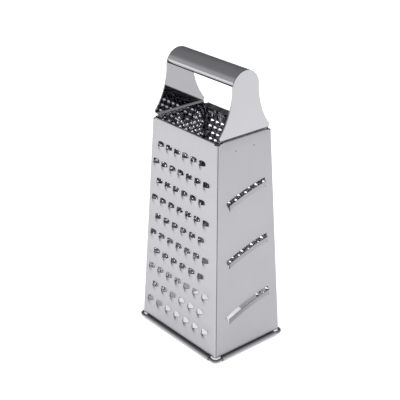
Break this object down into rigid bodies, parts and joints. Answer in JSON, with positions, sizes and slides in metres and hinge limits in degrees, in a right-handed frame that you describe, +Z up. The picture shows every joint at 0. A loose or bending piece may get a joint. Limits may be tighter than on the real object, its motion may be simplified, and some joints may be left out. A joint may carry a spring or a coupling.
{
  "type": "box grater",
  "caption": "Four-sided tapered steel box grater with a tube grip on two end plates: coarse scoops, slicing blades, fine scoops and rasping punches on a wired rim.",
  "frame": {"origin": "on the resting plane, under the middle of the body", "axes": "+Z up along the height, X along the grip, the coarse wall faces -Y and the slicing wall faces +X"},
  "size_m": [0.1034, 0.0784, 0.2388],
  "materials": {
    "satin_sheet": "satin stainless sheet",
    "bright_wire": "bright drawn stainless wire",
    "handle_plate": "satin outside, bright inside",
    "grip_sheet": "fine satin stainless tube",
    "weld_metal": "plain weld metal"
  },
  "bodies": {
    "root": {"coarse_wall": "satin_sheet", "fine_wall": "satin_sheet", "slicer_wall": "satin_sheet", "rasp_wall": "satin_sheet", "base_wire": "bright_wire", "slicer_side_end_plate": "handle_plate", "rasp_side_end_plate": "handle_plate", "grip_tube": "grip_sheet", "slicer_side_weld_spots": "weld_metal", "rasp_side_weld_spots": "weld_metal", "slicer_side_seam_welds": "weld_metal", "rasp_side_seam_welds": "weld_metal"}
  },
  "joints": []
}
